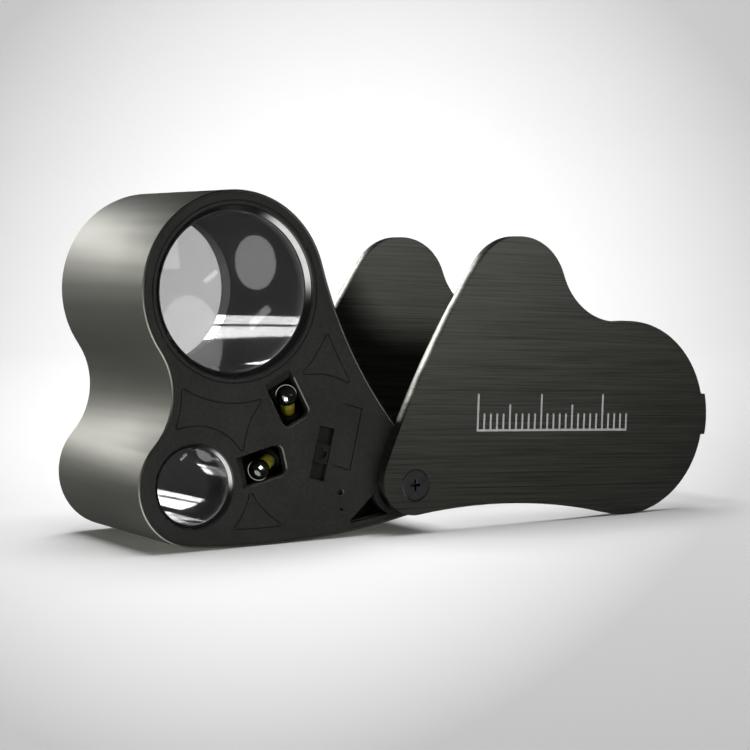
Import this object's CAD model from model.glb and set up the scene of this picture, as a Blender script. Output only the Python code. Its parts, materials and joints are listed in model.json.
import json
import math

import bmesh
import bpy
from mathutils import Matrix, Vector


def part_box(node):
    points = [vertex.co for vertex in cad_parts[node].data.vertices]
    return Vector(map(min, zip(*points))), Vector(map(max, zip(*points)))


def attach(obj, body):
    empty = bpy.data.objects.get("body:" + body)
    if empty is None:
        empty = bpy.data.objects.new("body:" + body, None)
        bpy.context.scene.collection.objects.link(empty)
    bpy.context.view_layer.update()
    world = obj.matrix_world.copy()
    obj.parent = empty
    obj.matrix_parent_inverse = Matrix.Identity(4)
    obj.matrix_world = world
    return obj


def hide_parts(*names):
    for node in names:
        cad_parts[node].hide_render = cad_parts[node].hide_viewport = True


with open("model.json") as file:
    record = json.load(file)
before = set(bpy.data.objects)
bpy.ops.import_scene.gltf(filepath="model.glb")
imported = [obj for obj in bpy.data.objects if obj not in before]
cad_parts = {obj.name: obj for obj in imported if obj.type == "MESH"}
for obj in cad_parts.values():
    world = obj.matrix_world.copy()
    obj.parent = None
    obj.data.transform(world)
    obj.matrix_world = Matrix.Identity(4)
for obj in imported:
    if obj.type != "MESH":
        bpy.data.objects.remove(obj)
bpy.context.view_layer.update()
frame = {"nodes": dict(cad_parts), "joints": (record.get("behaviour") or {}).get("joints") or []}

# Looks of the folding loupe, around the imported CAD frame. Everything is in metres, and MM turns
# millimetres into metres. The closed frame is the one the parts are drawn in: the pivot at the
# origin, X and Z along the faces. The cover is turned by TILT from it and the lens body by SWING.
MM = 0.001

PIVOT = Vector(frame["joints"][0]["pos_m"])
PLATE_FRONT_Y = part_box("cover")[0].y
FACE_FRONT_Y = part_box("front_face")[0].y
TILT = math.radians(-0.881)
SWING = math.radians(120.319)
# Brush lines against the cover, and how much blue the greys of the case lack
BRUSH_TURN = math.radians(-2.2)
WARM = 0.12

# Camera, in a frame at the pivot on the front plate's face, level with the closed loupe
CAMERA_AZIMUTH = math.radians(-30.16)
CAMERA_ELEVATION = math.radians(3.47)
CAMERA_TARGET = Vector((-6.07, 0.0, 14.38)) * MM
CAMERA_DISTANCE = 267.9 * MM
CAMERA_LENS = 101.58
SENSOR = 36.0
TOWARDS_CAMERA = Vector((-0.508, -0.861, 0.06))
AWAY_FROM_CAMERA = Vector((0.508, 0.861, 0.0))

# Diodes, in the closed frame: centre of the dome, direction in the face, in millimetres and degrees
LEDS = {
    "30x": ((18.6, 7.8), -5.0),
    "60x": ((12.76, 15.93), 82.0),
}
# Depth of a dome's centre behind the face, and how far a diode leans out of the face
LED_DEPTH = 1.6
LED_INCLINE = math.radians(33.0)
# Parts of a diode: radii, and heights along it from the dome's centre, in millimetres
LED_FOOT = -3.9
DOME_R = 1.37
DOME_ARC = 130
DOME_BACK = -0.95
COLUMN_R = 0.95
COLUMN_FRONT = -0.9
COLUMN_BACK = -2.85
FLANGE_R = 1.5
FLANGE_FRONT = -2.86
# Lit square in a dome: its size, how far it is sunk, and its place towards the column, in degrees
DIE_SIZE = (0.42, 0.42, 0.12)
DIE_SUNK = 0.03
DIE_TILT = 20.0

# Magnifiers: centre, then the radii of the tube, its mouth, its bore and the clear glass, the depth
# of the rings and the bulge of the lenses, in millimetres
OPTICS = {
    "30x": ((33.87, 7.59), 10.76, 10.70, 9.95, 10.12, 0.9, 0.6),
    "60x": ((16.43, 24.86), 5.32, 5.26, 4.78, 4.86, 0.65, 0.3),
}
# Shared by both magnifiers, in millimetres: length of the tubes, the mouth's chamfer (two depths and
# the step), flare of the bore at the eye end, and thicknesses of rings and lenses
DEPTH = 26.0
CHAMFER = (0.06, 0.15)
MOUTH_STEP = 0.05
FLARE = 0.4
FLARE_L = 0.8
RING_PLAY = 0.06
CLIP_T = 0.6
LOCK_T = 0.3
FRONT_LENS_T = 1.1
REAR_LENS_T = 2.4
CORRECTOR_T = 1.1
# Front of the clip ring and depth of its cone, as parts of the ring's depth, and the gap in it
CLIP_START = 0.35
CLIP_CONE = 0.6
CLIP_GAP = 1.1
CLIP_GAP_AT = math.radians(-90.4)
# Divisions round the tubes and round the lenses
TUBE_STEPS = 128
LENS_STEPS = 96

# Brightness of the surroundings: as the camera sees them, and in reflections
WORLD_SEEN = 0.75
WORLD_DIM = 0.03
WORLD_BEHIND = 0.16
WORLD_LOW_LEFT = 3.4

# Where the paper is brightest, in its own X and Z, and the squared slopes where its fall-off
# starts and ends
PAPER_MIDDLE = {"X": -0.012, "Z": 0.037}
PAPER_FALLOFF = (0.003, 0.052)

# Sockets of a colour Mix node: the two colours and the result
COLOUR_A = 6
COLOUR_B = 7
COLOUR_OUT = 2


# ---------------------------------------------------------------- materials

def new_material(name):
    """New material, and its Principled shader."""
    material = bpy.data.materials.new(name)
    material.use_nodes = True
    return material, material.node_tree.nodes["Principled BSDF"]


def set_sockets(node, **values):
    """Set a node's sockets by name, with underscores for the spaces."""
    for key, value in values.items():
        node.inputs[key.replace("_", " ")].default_value = value


def add(material, kind, **values):
    """Add a node to a material or world, with its sockets set."""
    node = material.node_tree.nodes.new(kind)
    set_sockets(node, **values)
    return node


def link(material, source, target):
    """Join two sockets."""
    material.node_tree.links.new(source, target)


def grey(value, warm=0.0):
    """Grey colour, from which warm takes some blue."""
    return (value, value, value * (1 - warm), 1.0)


def coordinates(material, scale, turn=0.0):
    """Object coordinates in millimetres, turned about Y into the closed frame and then scaled."""
    texture = add(material, "ShaderNodeTexCoord")
    rotate = add(material, "ShaderNodeMapping")
    rotate.inputs["Rotation"].default_value = (0.0, turn, 0.0)
    rotate.inputs["Scale"].default_value = (1 / MM, 1 / MM, 1 / MM)
    link(material, texture.outputs["Object"], rotate.inputs["Vector"])
    stretch = add(material, "ShaderNodeMapping")
    stretch.inputs["Scale"].default_value = scale
    link(material, rotate.outputs["Vector"], stretch.inputs["Vector"])
    return stretch.outputs["Vector"]


def noise(material, vector, detail=3.0, roughness=0.55, scale=1.0):
    """Noise between 0 and 1 along a vector that is already scaled."""
    node = add(material, "ShaderNodeTexNoise", Scale=scale, Detail=detail, Roughness=roughness)
    link(material, vector, node.inputs["Vector"])
    return node.outputs["Fac"]


def spread(material, value, low, high, start=0.3, end=0.7):
    """Map a value from start..end to low..high."""
    node = add(material, "ShaderNodeMapRange")
    node.inputs["From Min"].default_value = start
    node.inputs["From Max"].default_value = end
    node.inputs["To Min"].default_value = low
    node.inputs["To Max"].default_value = high
    link(material, value, node.inputs["Value"])
    return node.outputs["Result"]


def combine(material, operation, first, second):
    """Sum, product and the like of a value and another value or a number."""
    node = add(material, "ShaderNodeMath")
    node.operation = operation
    link(material, first, node.inputs[0])
    if isinstance(second, float):
        node.inputs[1].default_value = second
    else:
        link(material, second, node.inputs[1])
    return node.outputs["Value"]


def tint(material, value, dark, light):
    """Colour between dark and light by a value."""
    node = material.node_tree.nodes.new("ShaderNodeMix")
    node.data_type = "RGBA"
    node.inputs[COLOUR_A].default_value = dark
    node.inputs[COLOUR_B].default_value = light
    link(material, value, node.inputs["Factor"])
    return node.outputs[COLOUR_OUT]


def tint_between(material, value, first, second):
    """Mix of two colours that other nodes make."""
    node = material.node_tree.nodes.new("ShaderNodeMix")
    node.data_type = "RGBA"
    link(material, first, node.inputs[COLOUR_A])
    link(material, second, node.inputs[COLOUR_B])
    link(material, value, node.inputs["Factor"])
    return node.outputs[COLOUR_OUT]


def bump(material, shader, value, distance, strength=1.0):
    """Relief of a given depth in metres."""
    node = add(material, "ShaderNodeBump", Strength=strength, Distance=distance)
    link(material, value, node.inputs["Height"])
    link(material, node.outputs["Normal"], shader.inputs["Normal"])


def brushed(name, level, turn, roughness=0.34, contrast=0.42):
    """Dark anodised metal with fine brush lines along the closed frame's X, turned by an angle."""
    material, shader = new_material(name)
    set_sockets(shader, Metallic=1.0)
    fine = noise(material, coordinates(material, (0.05, 0.3, 5.2), turn), 5.0, 0.8)
    broad = noise(material, coordinates(material, (0.02, 0.1, 1.6), turn), 2.0, 0.5)
    line = combine(material, "ADD", fine, spread(material, broad, -0.025, 0.025))
    dark, light = grey(level * (1 - contrast), WARM), grey(level * (1 + contrast), WARM)
    colour = tint(material, spread(material, line, 0.0, 1.0, 0.35, 0.65), dark, light)
    link(material, colour, shader.inputs["Base Color"])
    link(material, spread(material, line, roughness - 0.05, roughness + 0.07), shader.inputs["Roughness"])
    bump(material, shader, line, 0.008 * MM, 0.5)
    return material


def satin(name, level, roughness=0.36):
    """Bead-blasted anodised metal: a very fine grain and faint cloudiness."""
    material, shader = new_material(name)
    set_sockets(shader, Metallic=1.0)
    cloud = noise(material, coordinates(material, (0.08, 0.05, 0.08)), 2.0)
    grain = noise(material, coordinates(material, (6.0, 6.0, 6.0)), 2.0)
    link(material, tint(material, cloud, grey(level * 0.96, WARM), grey(level * 1.04, WARM)),
         shader.inputs["Base Color"])
    link(material, spread(material, cloud, roughness - 0.02, roughness + 0.03), shader.inputs["Roughness"])
    bump(material, shader, grain, 0.004 * MM, 0.5)
    return material


def moulded(name, level, roughness=0.55, depth=0.02, grain=5.0):
    """Spark-textured dark plastic with a fine speckle."""
    material, shader = new_material(name)
    speckle = noise(material, coordinates(material, (grain, grain, grain)), 3.0, 0.6)
    patch = noise(material, coordinates(material, (0.15, 0.15, 0.15)), 2.0)
    both = add(material, "ShaderNodeMath")
    both.operation = "MULTIPLY_ADD"
    both.inputs[1].default_value = 0.75
    link(material, speckle, both.inputs[0])
    link(material, spread(material, patch, 0.06, 0.19), both.inputs[2])
    value = both.outputs["Value"]
    link(material, tint(material, spread(material, value, 0.0, 1.0), grey(level * 0.6, WARM),
                        grey(level * 1.4, WARM)), shader.inputs["Base Color"])
    link(material, spread(material, value, roughness - 0.07, roughness + 0.1), shader.inputs["Roughness"])
    bump(material, shader, speckle, depth * MM, 0.5)
    return material


def turned_metal(name, level, roughness, metallic=1.0, warm=0.0, streak=(0.6, 0.05, 0.6), relief=0.4):
    """Lathe-turned surface: fine marks that run round or along the part."""
    material, shader = new_material(name)
    set_sockets(shader, Metallic=metallic)
    mark = noise(material, coordinates(material, streak), 3.0, 0.6)
    link(material, tint(material, spread(material, mark, 0.0, 1.0), grey(level * 0.85, warm),
                        grey(level * 1.15, warm)), shader.inputs["Base Color"])
    link(material, spread(material, mark, roughness * 0.8, roughness * 1.25), shader.inputs["Roughness"])
    bump(material, shader, mark, 0.003 * MM, relief)
    return material


def bore_black(name):
    """Black anodised tube with a polished bore and faint marks along it."""
    material, shader = new_material(name)
    mark = noise(material, coordinates(material, (5.0, 0.03, 5.0)), 3.0, 0.6)
    link(material, tint(material, spread(material, mark, 0.0, 1.0), grey(0.26), grey(0.34)),
         shader.inputs["Base Color"])
    link(material, spread(material, mark, 0.02, 0.04), shader.inputs["Roughness"])
    set_sockets(shader, Specular_IOR_Level=0.75)
    bump(material, shader, mark, 0.006 * MM, 0.3)
    return material


def coated_glass(name, passed, mirror=1.0):
    """Thin coated glass: lets light straight through, and mirrors more towards its rim."""
    material, shader = new_material(name)
    tree = material.node_tree
    output = tree.nodes["Material Output"]
    smear = noise(material, coordinates(material, (0.25, 0.25, 0.25)), 4.0, 0.6)
    tree.nodes.remove(shader)
    clear = add(material, "ShaderNodeBsdfTransparent")
    link(material, tint(material, smear, grey(passed * 0.98), grey(passed)), clear.inputs["Color"])
    gloss = add(material, "ShaderNodeBsdfAnisotropic")
    gloss.inputs["Color"].default_value = (mirror, mirror, mirror, 1.0)
    gloss.inputs["Roughness"].default_value = 0.035
    fresnel = add(material, "ShaderNodeFresnel", IOR=1.5)
    mix = add(material, "ShaderNodeMixShader")
    link(material, fresnel.outputs["Fac"], mix.inputs["Fac"])
    link(material, clear.outputs["BSDF"], mix.inputs[1])
    link(material, gloss.outputs["BSDF"], mix.inputs[2])
    link(material, mix.outputs["Shader"], output.inputs["Surface"])
    return material


def tinted_epoxy(name):
    """Diode epoxy over a black cup: dark in the middle, with a bright arc towards its tip."""
    material, shader = new_material(name)
    flow = noise(material, coordinates(material, (0.8, 0.8, 0.8)), 3.0)
    link(material, tint(material, flow, (0.006, 0.006, 0.004, 1), (0.012, 0.012, 0.006, 1)),
         shader.inputs["Base Color"])
    set_sockets(shader, Coat_Weight=1.0, Coat_Roughness=0.02)
    link(material, spread(material, flow, 0.05, 0.09), shader.inputs["Roughness"])
    weight = add(material, "ShaderNodeLayerWeight", Blend=0.5)
    rim = spread(material, weight.outputs["Facing"], 0.0, 1.0, 0.62, 0.74)
    edge = spread(material, weight.outputs["Facing"], 1.0, 0.0, 0.84, 0.9)
    split = add(material, "ShaderNodeSeparateXYZ")
    link(material, add(material, "ShaderNodeTexCoord").outputs["Object"], split.inputs["Vector"])
    tip = spread(material, split.outputs["Z"], 0.0, 1.0, 0.25 * MM, 0.6 * MM)
    arc = combine(material, "MULTIPLY", combine(material, "MULTIPLY", rim, edge), tip)
    glint = combine(material, "MULTIPLY", arc, spread(material, flow, 0.5, 0.75))
    shader.inputs["Emission Color"].default_value = (1.0, 1.0, 0.95, 1.0)
    link(material, glint, shader.inputs["Emission Strength"])
    return material


def phosphor(name):
    """Yellow phosphor under clear epoxy, uneven in its thickness."""
    material, shader = new_material(name)
    lump = noise(material, coordinates(material, (0.9, 0.9, 0.9)), 3.0)
    colour = tint(material, spread(material, lump, 0.0, 1.0), (0.15, 0.13, 0.008, 1), (0.60, 0.52, 0.05, 1))
    link(material, colour, shader.inputs["Base Color"])
    link(material, spread(material, lump, 0.25, 0.4), shader.inputs["Roughness"])
    set_sockets(shader, Coat_Weight=0.6, Coat_Roughness=0.05)
    return material


def glowing(name, colour, strength):
    """Small light-emitting surface with a slightly uneven glow."""
    material, shader = new_material(name)
    lump = noise(material, coordinates(material, (4.0, 4.0, 4.0)), 2.0)
    link(material, tint(material, lump, tuple(c * 0.9 for c in colour[:3]) + (1,), colour),
         shader.inputs["Base Color"])
    set_sockets(shader, Roughness=0.3, Emission_Color=colour, Emission_Strength=strength)
    return material


def laminate(name):
    """Green solder mask with faint copper traces under it."""
    material, shader = new_material(name)
    trace = add(material, "ShaderNodeTexWave", Scale=0.9, Distortion=0.0)
    link(material, coordinates(material, (1.0, 1.0, 1.0), -SWING), trace.inputs["Vector"])
    link(material, tint(material, spread(material, trace.outputs["Fac"], 0.0, 1.0, 0.45, 0.55),
                        (0.008, 0.05, 0.022, 1), (0.014, 0.085, 0.035, 1)), shader.inputs["Base Color"])
    set_sockets(shader, Roughness=0.32, Coat_Weight=0.4)
    return material


def paint(name, level, roughness=0.5):
    """Matt fill paint, slightly uneven."""
    material, shader = new_material(name)
    patch = noise(material, coordinates(material, (1.5, 1.5, 1.5)), 3.0)
    link(material, tint(material, patch, grey(level * 0.9), grey(level * 1.05)), shader.inputs["Base Color"])
    link(material, spread(material, patch, roughness - 0.05, roughness + 0.08), shader.inputs["Roughness"])
    return material


# ---------------------------------------------------------------- mesh work

def new_object(name, data):
    """New object with its data, in the scene."""
    piece = bpy.data.objects.new(name, data)
    bpy.context.scene.collection.objects.link(piece)
    return piece


def clean_copy(node, name):
    """New object with a CAD node's mesh, its split corners joined and its flat faces whole."""
    source = frame["nodes"][node]
    bm = bmesh.new()
    bm.from_mesh(source.data)
    bmesh.ops.remove_doubles(bm, verts=bm.verts, dist=0.5e-6)
    bmesh.ops.dissolve_limit(bm, angle_limit=math.radians(0.4), verts=bm.verts, edges=bm.edges)
    mesh = bpy.data.meshes.new(name)
    bm.to_mesh(mesh)
    bm.free()
    return new_object(name, mesh)


def apply_modifiers(piece):
    """Turn a piece's modifiers into its mesh."""
    graph = bpy.context.evaluated_depsgraph_get()
    mesh = bpy.data.meshes.new_from_object(piece.evaluated_get(graph))
    piece.modifiers.clear()
    piece.data = mesh


def softened(node, body, material, width, segments=2):
    """Replace a CAD node by the same shape with its sharp edges rounded."""
    piece = clean_copy(node, node + "_finished")
    bevel = piece.modifiers.new("edge", "BEVEL")
    bevel.width = width * MM
    bevel.segments = segments
    bevel.limit_method = "ANGLE"
    bevel.angle_limit = math.radians(28)
    bevel.use_clamp_overlap = True
    bevel.harden_normals = True
    bevel.miter_outer = "MITER_ARC"
    apply_modifiers(piece)
    piece.data.materials.clear()
    piece.data.materials.append(material)
    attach(piece, body)
    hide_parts(node)
    return piece


def polish_rims(piece, material):
    """Smooth glossy look for the 45-degree chamfers round the holes of the front face."""
    piece.data.materials.append(material)
    for face in piece.data.polygons:
        if abs(face.normal.y + math.sqrt(0.5)) < 0.02:
            face.material_index = 1


def darken_recesses(piece, material):
    """Dark look for everything on the screws that lies behind the flat of their heads."""
    piece.data.materials.append(material)
    top = max(abs(vert.co.y) for vert in piece.data.vertices)
    for face in piece.data.polygons:
        if abs(face.center.y) < top - 0.04 * MM:
            face.material_index = 1


def paint_node(node, material):
    """Give a CAD node its material."""
    obj = frame["nodes"][node]
    for slot in obj.material_slots:
        slot.material = material


def closed_to_world(x, y, z, turn):
    """World point of a closed-frame point in millimetres, y measured in world metres."""
    return Vector((
        PIVOT.x + (x * math.cos(turn) - z * math.sin(turn)) * MM,
        y,
        PIVOT.z + (x * math.sin(turn) + z * math.cos(turn)) * MM,
    ))


def spun(name, profile, material, steps=48, gap=0.0, gap_at=0.0):
    """Solid of revolution about local Z, from (radius, z) points in millimetres, or a split ring."""
    bm = bmesh.new()
    points = [bm.verts.new((r * MM, 0, z * MM)) for r, z in profile]
    edges = [bm.edges.new(pair) for pair in zip(points, points[1:])]
    bmesh.ops.spin(bm, geom=points + edges, cent=(0, 0, 0), axis=(0, 0, 1), angle=2 * math.pi - gap,
                   steps=steps, use_merge=gap == 0.0)
    bmesh.ops.remove_doubles(bm, verts=bm.verts, dist=1e-7)
    bmesh.ops.holes_fill(bm, edges=[edge for edge in bm.edges if edge.is_boundary], sides=0)
    bmesh.ops.rotate(bm, verts=bm.verts, matrix=Matrix.Rotation(gap_at + gap / 2, 3, "Z"))
    bmesh.ops.recalc_face_normals(bm, faces=bm.faces)
    for face in bm.faces:
        face.smooth = True
    mesh = bpy.data.meshes.new(name)
    bm.to_mesh(mesh)
    bm.free()
    mesh.set_sharp_from_angle(angle=math.radians(25))
    mesh.materials.append(material)
    return new_object(name, mesh)


def block(name, size, centre, material):
    """Box with rounded edges, in millimetres."""
    bm = bmesh.new()
    bmesh.ops.create_cube(bm, size=1.0)
    for vert in bm.verts:
        vert.co = Vector((vert.co[i] * size[i] + centre[i] for i in range(3))) * MM
    bmesh.ops.bevel(bm, geom=bm.edges[:], offset=min(size) * 0.15 * MM, segments=2, affect="EDGES")
    mesh = bpy.data.meshes.new(name)
    bm.to_mesh(mesh)
    bm.free()
    mesh.materials.append(material)
    return new_object(name, mesh)


# ---------------------------------------------------------------- diodes

def led_matrix(dome_at, turn):
    """Place of a diode: local Z points out of its dome."""
    angle = math.radians(turn) + SWING
    flat = math.cos(LED_INCLINE)
    axis = Vector((flat * math.cos(angle), -math.sin(LED_INCLINE), flat * math.sin(angle)))
    side = axis.cross(Vector((0, 1, 0))).normalized()
    up = axis.cross(side)
    dome = closed_to_world(dome_at[0], FACE_FRONT_Y + LED_DEPTH * MM, dome_at[1], SWING)
    matrix = Matrix((side, up, axis)).transposed().to_4x4()
    matrix.translation = dome
    return matrix


def dome_profile(steps=28):
    """(radius, z) points along a diode's dome, from its tip to where it meets the column."""
    points = []
    for i in range(steps + 1):
        a = math.radians(DOME_ARC * i / steps)
        points.append((DOME_R * math.sin(a), DOME_R * math.cos(a)))
    return points + [(COLUMN_R, DOME_BACK), (0.0, DOME_BACK)]


def make_die(which, matrix, look):
    """Lit square of a diode's chip, near the middle of the dome as the camera sees it."""
    axis = matrix.to_3x3().col[2]
    view = TOWARDS_CAMERA.normalized()
    behind = (axis - view * axis.dot(view)).normalized()
    tilt = math.radians(DIE_TILT)
    out = view * math.cos(tilt) - behind * math.sin(tilt)
    across = out.cross(axis).normalized()
    piece = block("led_die_" + which, DIE_SIZE, (0, 0, 0), look)
    piece.matrix_world = Matrix((across, out.cross(across), out)).transposed().to_4x4()
    piece.matrix_world.translation = matrix.translation + out * (DOME_R - DIE_SUNK) * MM
    return piece


def make_led(which, looks):
    """Diode: dark dome, phosphor column behind it, flange, and the lit square of its die."""
    matrix = led_matrix(*LEDS[which])
    ball = spun("led_dome_" + which, dome_profile(), looks["epoxy"])
    column = [
        (0.0, COLUMN_FRONT), (COLUMN_R - 0.1, COLUMN_FRONT), (COLUMN_R, COLUMN_FRONT - 0.1),
        (COLUMN_R, COLUMN_BACK + 0.15), (COLUMN_R - 0.07, COLUMN_BACK), (0.0, COLUMN_BACK),
    ]
    body = spun("led_column_" + which, column, looks["phosphor"])
    flange = [
        (0.0, FLANGE_FRONT), (FLANGE_R - 0.08, FLANGE_FRONT), (FLANGE_R, FLANGE_FRONT - 0.08),
        (FLANGE_R, LED_FOOT + 0.05), (FLANGE_R - 0.05, LED_FOOT), (0.0, LED_FOOT),
    ]
    foot = spun("led_flange_" + which, flange, looks["chassis"])
    die = make_die(which, matrix, looks["die"])
    for piece in (ball, body, foot):
        piece.matrix_world = matrix
    for piece in (ball, body, foot, die):
        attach(piece, "lens_body")
    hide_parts("led_lens_" + which)
    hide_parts("led_chip_" + which)


# ---------------------------------------------------------------- barrels and lenses

def lathe_matrix(centre):
    """Place of a lathed optic: local Z runs from the front face to the back, on the lens's axis."""
    matrix = Matrix.Rotation(-SWING, 4, "Y") @ Matrix.Rotation(math.radians(-90), 4, "X")
    matrix.translation = closed_to_world(centre[0], FACE_FRONT_Y, centre[1], SWING)
    return matrix


def place_optic(piece, centre, node):
    """Put a lathed optic in place of its CAD node."""
    piece.matrix_world = lathe_matrix(centre)
    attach(piece, "lens_body")
    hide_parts(node)


def barrel_profile(outer, mouth, bore, mouth_depth):
    """Tube with a chamfered mouth at each end, round a bore that flares at the eye end."""
    edge, inside = CHAMFER
    seat = mouth - MOUTH_STEP
    last = DEPTH - mouth_depth
    front = [(outer, 0.0), (mouth, edge), (seat, inside), (seat, mouth_depth), (bore, mouth_depth)]
    back = [(bore, last - FLARE_L), (bore + FLARE, last), (seat, last), (seat, DEPTH - inside)]
    return front + back + [(mouth, DEPTH - edge), (outer, DEPTH), (outer, 0.0)]


def lens_profile(radius, front, back, bulge_front, bulge_back, steps=14):
    """Lens between two rim depths, where a bulge is how far a pole lies behind its rim."""
    def surface(rim, bulge):
        return [(radius * i / steps, rim + bulge * (1 - (i / steps) ** 2)) for i in range(steps + 1)]
    return surface(front, bulge_front) + list(reversed(surface(back, bulge_back)))


def ring_profile(outer, inner, front, back, cone):
    """Ring with a cone that widens towards the front."""
    return [(outer, front), (inner, front + cone), (inner, back), (outer, back), (outer, front)]


def two_looks(piece, second, limit):
    """Give the faces of a lathed piece that lie beyond a radius a second material."""
    piece.data.materials.append(second)
    for face in piece.data.polygons:
        face.material_index = int(face.center.xy.length > limit * MM)


def make_optics(looks):
    """Barrels, glass and rings of both magnifiers, lathed smooth."""
    for which, (centre, outer, mouth, bore, glass, depth, bulge) in OPTICS.items():
        tube = spun("tube_" + which, barrel_profile(outer, mouth, bore, depth), looks["tube"], TUBE_STEPS)
        two_looks(tube, looks["ring"], bore + 0.02)
        rim = mouth - RING_PLAY
        start = depth + CLIP_T
        clip_profile = ring_profile(rim, glass, depth * CLIP_START, start, depth * CLIP_CONE)
        clip = spun("clip_" + which, clip_profile, looks["clip"], TUBE_STEPS, CLIP_GAP / mouth, CLIP_GAP_AT)
        lock_profile = ring_profile(rim, bore + FLARE, DEPTH - depth, DEPTH - depth + LOCK_T, 0.0)
        lock = spun("lock_" + which, lock_profile, looks["ring"], TUBE_STEPS)
        last = DEPTH - depth - FLARE_L
        split = last - CORRECTOR_T if which == "30x" else last
        lenses = {"front": lens_profile(glass + 0.03, start, start + FRONT_LENS_T, -bulge, bulge)}
        lenses["rear"] = lens_profile(bore - 0.01, last - REAR_LENS_T, split, -2 * bulge, bulge)
        if which == "30x":
            lenses["corrector"] = lens_profile(bore - 0.01, split + 0.02, last, bulge, 0.0)
        for place, profile in lenses.items():
            lens = spun("glass_" + place + "_" + which, profile, looks["glass"], LENS_STEPS)
            two_looks(lens, looks["tube"], bore - 0.012)
            place_optic(lens, centre, place + "_lens_" + which)
        place_optic(tube, centre, "barrel_" + which)
        place_optic(clip, centre, "clip_ring_" + which)
        place_optic(lock, centre, "lock_ring_" + which)


# ---------------------------------------------------------------- assembly of the looks

LOOKS = {
    "cover": brushed("anodised_brushed", 0.18, TILT + BRUSH_TURN),
    "band": satin("anodised_satin", 0.25, 0.56),
    "face": moulded("face_spark", 0.030, 0.55, 0.03, 2.6),
    "rim": moulded("rim_smooth", 0.05, 0.25, 0.004, 3.0),
    "chassis": moulded("chassis_black", 0.008, 0.5),
    "slider": moulded("slider_smooth", 0.012, 0.45, 0.01, 8.0),
    "scale": paint("scale_fill", 0.62),
    "screw": turned_metal("screw_dark", 0.16, 0.32),
    "barrel": turned_metal("barrel_turned", 0.55, 0.25),
    "washer": moulded("washer_nylon", 0.012, 0.4, 0.008, 3.0),
    "tube": bore_black("tube_black"),
    "clip": turned_metal("clip_bright", 0.21, 0.2, warm=0.03),
    "ring": turned_metal("ring_black", 0.04, 0.3, metallic=0.5),
    "glass": coated_glass("lens_coated", 0.90),
    "epoxy": tinted_epoxy("diode_epoxy"),
    "phosphor": phosphor("diode_phosphor"),
    "die": glowing("diode_die", (1.0, 1.0, 0.96, 1.0), 1.0),
    "board": laminate("board_green"),
    "resistor": paint("resistor_glaze", 0.02, 0.25),
    "steel": turned_metal("stamped_steel", 0.25, 0.35),
    "spring": turned_metal("spring_nickel", 0.7, 0.25, warm=0.03),
    "cell": turned_metal("cell_nickel", 0.75, 0.2, warm=0.01),
}

# CAD nodes shown with their sharp edges rounded: node, body, look, material slot, width of the edge
SOFTENED = [
    ("cover", "cover_frame", "cover", "cover_metal", 0.08),
    ("pivot_screws", "cover_frame", "screw", "screw_steel", 0.03),
    ("pivot_washers", "cover_frame", "washer", "washer_plastic", 0.05),
    ("side_band", "lens_body", "band", "band_metal", 0.04),
    ("front_face", "lens_body", "face", "face_plastic", 0.03),
    ("back_face", "lens_body", "face", "face_plastic", 0.03),
    ("battery_door", "lens_body", "face", "face_plastic", 0.05),
    ("switch_slider", "switch_thumb", "slider", "slider_plastic", 0.04),
]
for node, body, look, slot, width in SOFTENED:
    piece = softened(node, body, LOOKS[look], width)
    if node == "front_face":
        polish_rims(piece, LOOKS["rim"])
    if node == "pivot_screws":
        darken_recesses(piece, LOOKS["chassis"])

# CAD nodes that stay and only get a look
PAINTED = {
    "scale_mark": "scale", "pivot_barrel": "barrel", "chassis": "chassis", "circuit_board": "board",
    "board_resistors": "resistor", "switch_housing": "steel", "contact_spring": "spring",
    "door_contact": "spring", "battery_door_screw": "screw", "back_screws": "screw",
    "button_cell_1": "cell", "button_cell_2": "cell", "button_cell_3": "cell",
}
for node, look in PAINTED.items():
    paint_node(node, LOOKS[look])

for which in LEDS:
    make_led(which, LOOKS)
make_optics(LOOKS)


# ---------------------------------------------------------------- stage, lights and camera

def facing(location, target, roll=0.0):
    """Matrix at a location whose -Z looks at a target."""
    back = (Vector(location) - Vector(target)).normalized()
    matrix = back.to_track_quat("Z", "Y").to_matrix().to_4x4() @ Matrix.Rotation(roll, 4, "Z")
    matrix.translation = Vector(location)
    return matrix


def area_light(name, direction, distance, size, power, target, roll=0.0, shape="RECTANGLE", **seen):
    """Soft light in a direction from a target, size in metres, where seen says what it shows in."""
    data = bpy.data.lights.new(name, "AREA")
    data.shape = shape
    data.size, data.size_y = size
    data.energy = power
    light = new_object(name, data)
    light.matrix_world = facing(target + Vector(direction).normalized() * distance, target, roll)
    light.visible_camera = False
    for key, value in seen.items():
        setattr(light, "visible_" + key, value)


def edge_falloff(material):
    """0 in the middle of the paper as it lies before the camera, 1 towards the picture's corners."""
    split = add(material, "ShaderNodeSeparateXYZ")
    link(material, add(material, "ShaderNodeTexCoord").outputs["Object"], split.inputs["Vector"])
    away = combine(material, "ADD", split.outputs["Y"], CAMERA_DISTANCE)
    squares = []
    for axis, middle in PAPER_MIDDLE.items():
        offset = combine(material, "SUBTRACT", split.outputs[axis], middle)
        slope = combine(material, "DIVIDE", offset, away)
        if axis == "Z":
            slope = combine(material, "ADD", slope, math.tan(CAMERA_ELEVATION))
        squares.append(combine(material, "MULTIPLY", slope, slope))
    return spread(material, combine(material, "ADD", *squares), 0.0, 1.0, *PAPER_FALLOFF)


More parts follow.
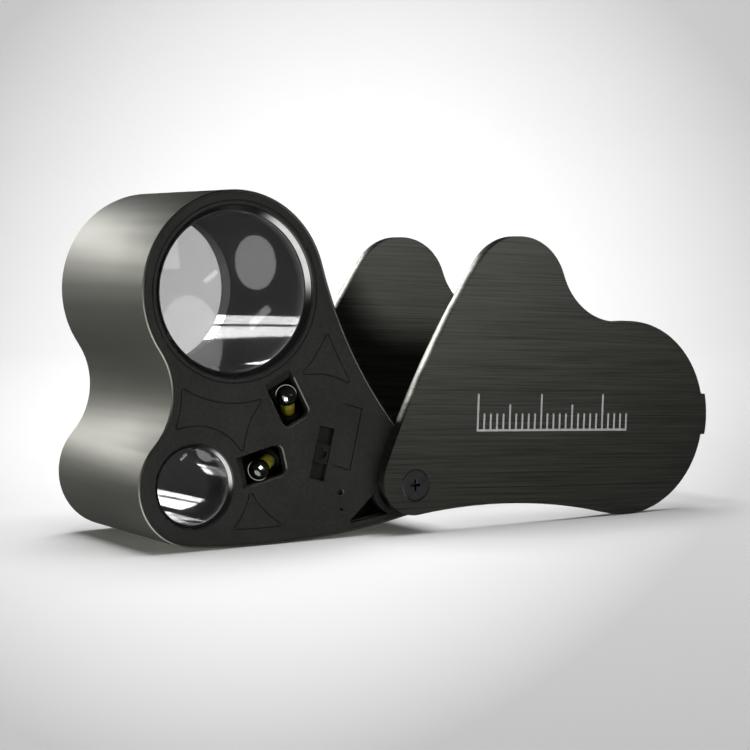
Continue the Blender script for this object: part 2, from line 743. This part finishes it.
def make_stage():
    """Pale floor that sweeps up into a wall behind the loupe."""
    width, back, front, bend, height, steps = 3.0, 0.9, -1.5, 0.5, 1.6, 24
    profile = [(front, 0.0), (back - bend, 0.0)]
    for i in range(1, steps):
        a = math.pi / 2 * i / steps
        profile.append((back - bend + bend * math.sin(a), bend - bend * math.cos(a)))
    profile += [(back, bend), (back, height)]
    verts, faces = [], []
    for x in (-width / 2, width / 2):
        verts += [(x, y, z) for y, z in profile]
    n = len(profile)
    for i in range(n - 1):
        faces.append((i, i + n, i + n + 1, i + 1))
    mesh = bpy.data.meshes.new("sweep")
    mesh.from_pydata(verts, [], faces)
    for face in mesh.polygons:
        face.use_smooth = True
    sweep = new_object("sweep", mesh)
    sweep.matrix_world = Matrix.Rotation(CAMERA_AZIMUTH, 4, "Z")
    material, shader = new_material("sweep_paper")
    fibre = noise(material, coordinates(material, (0.02, 0.02, 0.02)), 2.0)
    paper = tint(material, fibre, grey(0.80), grey(0.82))
    shaded = tint(material, fibre, grey(0.47), grey(0.48))
    link(material, tint_between(material, edge_falloff(material), paper, shaded), shader.inputs["Base Color"])
    set_sockets(shader, Roughness=0.9, Specular_IOR_Level=0.1)
    mesh.materials.append(material)
    sweep.visible_glossy = False


def patch(world, source, direction, start, end, level):
    """Brightness of a round patch of the surroundings, from the cosine of the angle to its middle."""
    dot = add(world, "ShaderNodeVectorMath")
    dot.operation = "DOT_PRODUCT"
    dot.inputs[1].default_value = Vector(direction).normalized()
    link(world, source, dot.inputs[0])
    return spread(world, dot.outputs["Value"], 0.0, level, start, end)


def make_world():
    """Pale for the camera, and for reflections dim in front, brighter behind and at the low left."""
    world = bpy.data.worlds.new("studio")
    world.use_nodes = True
    direction = add(world, "ShaderNodeTexCoord").outputs["Generated"]
    behind = patch(world, direction, (-0.5, 0.86, 0.1), 0.6, 0.95, WORLD_BEHIND)
    low_left = patch(world, direction, (-0.65, -0.4, -0.65), 0.72, 0.86, WORLD_LOW_LEFT)
    reflected = combine(world, "ADD", combine(world, "ADD", behind, low_left), WORLD_DIM)
    path = add(world, "ShaderNodeLightPath")
    level = add(world, "ShaderNodeMix", B=WORLD_SEEN)
    link(world, path.outputs["Is Camera Ray"], level.inputs["Factor"])
    link(world, reflected, level.inputs["A"])
    link(world, level.outputs["Result"], world.node_tree.nodes["Background"].inputs["Color"])
    bpy.context.scene.world = world


def make_camera():
    """Camera at the photographed angle."""
    a, e = CAMERA_AZIMUTH, CAMERA_ELEVATION
    back = Vector((math.sin(a) * math.cos(e), -math.cos(a) * math.cos(e), math.sin(e)))
    right = Vector((math.cos(a), math.sin(a), 0.0))
    up = back.cross(right)
    matrix = Matrix((right, up, back)).transposed().to_4x4()
    matrix.translation = CAMERA_TARGET + back * CAMERA_DISTANCE
    stand = Matrix.Translation((PIVOT.x, PLATE_FRONT_Y, PIVOT.z)) @ Matrix.Rotation(-TILT, 4, "Y")
    data = bpy.data.cameras.new("camera")
    data.lens = CAMERA_LENS
    data.sensor_width = SENSOR
    data.clip_start = 0.005
    camera = new_object("camera", data)
    camera.matrix_world = stand @ matrix
    bpy.context.scene.camera = camera


def compass(azimuth, elevation):
    """Direction from degrees: azimuth from the front (-Y) towards +X, elevation above the floor."""
    a, e = math.radians(azimuth), math.radians(elevation)
    return Vector((math.sin(a) * math.cos(e), -math.cos(a) * math.cos(e), math.sin(e)))


def make_lights():
    """Strips behind, softboxes in front for the glass and plates, and light on the sweep."""
    middle = Vector((-0.02, 0.0, 0.025))
    lens_x, lens_z = OPTICS["30x"][0]
    lens = closed_to_world(lens_x, FACE_FRONT_Y, lens_z, SWING)
    for side in (-1, 1):
        direction = (-0.33, 0.86, 0.36 + side * 0.050)
        area_light("back_strip_" + str(side), direction, 0.6, (0.5, 0.044), 0.9, middle, diffuse=False)
    area_light("round_softbox", compass(31.7, 3.7), 0.5, (0.082, 0.088), 0.065, lens, shape="ELLIPSE",
               diffuse=False)
    area_light("slanted_strip", compass(21.4, 1.4), 0.5, (0.03, 0.008), 0.004, lens, math.radians(35),
               diffuse=False)
    area_light("large_softbox", compass(12.5, 6.5), 0.5, (0.04, 0.06), 0.02, lens, diffuse=False)
    area_light("front_fill", (0.1, -0.8, 0.5), 0.8, (0.6, 0.4), 1.2, middle, glossy=False)
    area_light("wall_light", AWAY_FROM_CAMERA * -0.6 + Vector((0, 0, 0.5)), 0.75, (0.3, 0.3), 4.3,
               AWAY_FROM_CAMERA * 0.9 + Vector((0, 0, 0.08)), glossy=False)
    area_light("top_fill", (0.0, 0.0, 1.0), 0.34, (0.3, 0.3), 1.75, middle, glossy=False)


make_stage()
make_world()
make_lights()
make_camera()
bpy.context.scene.view_settings.view_transform = "Standard"
